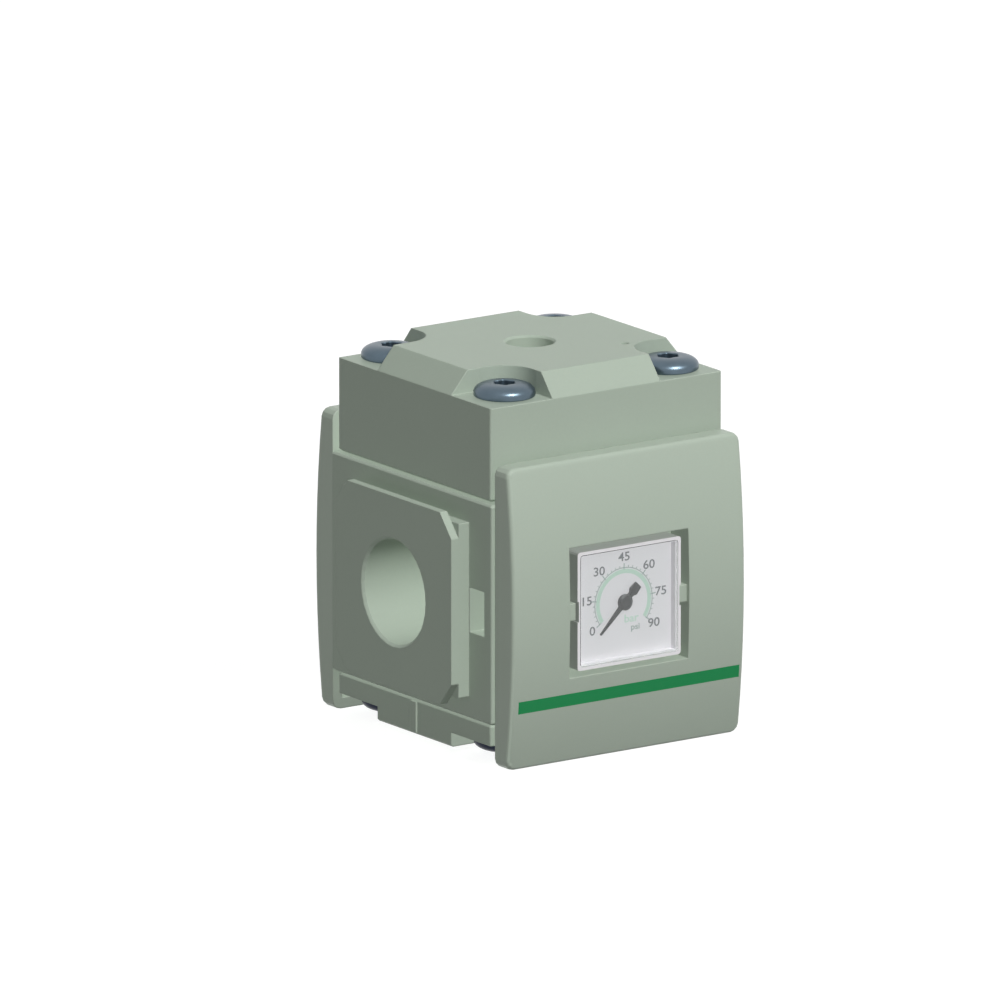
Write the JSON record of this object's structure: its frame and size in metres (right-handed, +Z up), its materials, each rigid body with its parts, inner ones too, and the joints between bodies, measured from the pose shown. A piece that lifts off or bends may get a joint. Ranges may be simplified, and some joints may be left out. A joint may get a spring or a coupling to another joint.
{
  "type": "pilot operated regulator",
  "caption": "Pilot operated pressure regulator for compressed air, modular die-cast block with a square front gauge, side ports in raised pads and a pilot port in the top cover",
  "frame": {"origin": "middle of the underside of the whole unit, on the plane of the end plates' lower edges", "axes": "X along the flow from the inlet pad to the outlet pad, Y from the front plate with the gauge to the rear plate, Z up along the valve axis to the pilot port"},
  "size_m": [0.06, 0.0628, 0.0703],
  "materials": {
    "painted_casting": "satin grey-green paint on a die casting",
    "plate_moulding": "satin grey-green moulded plastic",
    "zinc_steel": "blue-grey zinc plated steel",
    "gauge_plastic": "pale grey moulded plastic",
    "dial_white": "white printed dial",
    "needle_black": "black pointer",
    "clear_plastic": "clear moulded lens",
    "brass": "machined brass",
    "aluminium": "machined aluminium",
    "spring_steel": "bright spring steel",
    "black_rubber": "black nitrile rubber"
  },
  "bodies": {
    "housing": {"main_body": "painted_casting", "top_cover": "painted_casting", "bottom_cover": "painted_casting", "cover_screw_1": "zinc_steel", "cover_screw_2": "zinc_steel", "cover_screw_3": "zinc_steel", "cover_screw_4": "zinc_steel", "bottom_screw_1": "zinc_steel", "bottom_screw_2": "zinc_steel", "bottom_screw_3": "zinc_steel", "bottom_screw_4": "zinc_steel", "front_plate": "plate_moulding", "rear_plate": "plate_moulding", "gauge_case": "gauge_plastic", "gauge_socket": "brass", "bourdon_coil": "brass", "gauge_dial": "dial_white", "gauge_lens": "clear_plastic", "gauge_seal": "black_rubber", "rear_gauge_plug": "zinc_steel", "rear_plug_seal": "black_rubber", "diaphragm": "black_rubber", "valve_seat": "brass", "stem_guide": "aluminium", "upper_stem_seal": "black_rubber", "sensing_tube": "brass", "valve_spring": "spring_steel", "lower_stem_seal": "black_rubber", "bottom_cover_seal": "black_rubber"},
    "diaphragm_assembly": {"upper_diaphragm_plate": "aluminium", "lower_diaphragm_plate": "aluminium", "diaphragm_nut": "spring_steel", "relief_seal": "black_rubber"},
    "valve": {"valve_stem": "brass", "valve_poppet": "aluminium", "poppet_seal": "black_rubber", "poppet_clip": "spring_steel"},
    "needle": {"gauge_needle": "needle_black"}
  },
  "joints": [
    {"name": "diaphragm_slide", "type": "slide", "parent": "housing", "child": "diaphragm_assembly", "axis": [0, 0, 1], "range_m": [-0.003, 0], "deforming": ["diaphragm"]},
    {"name": "valve_slide", "type": "slide", "parent": "housing", "child": "valve", "axis": [0, 0, 1], "range_m": [-0.003, 0], "stiffness_N_per_m": 900, "springref_m": 0.002, "deforming": ["valve_spring"]},
    {"name": "needle_turn", "type": "hinge", "parent": "housing", "child": "needle", "pos_m": [0, -0.029, 0.0279], "axis": [0, 1, 0], "range_deg": [0, 270], "stiffness_Nm_per_rad": 0.0002}
  ],
  "couplings": [
    {"joint": "valve_slide", "follows": "diaphragm_slide", "ratio": 1}
  ]
}
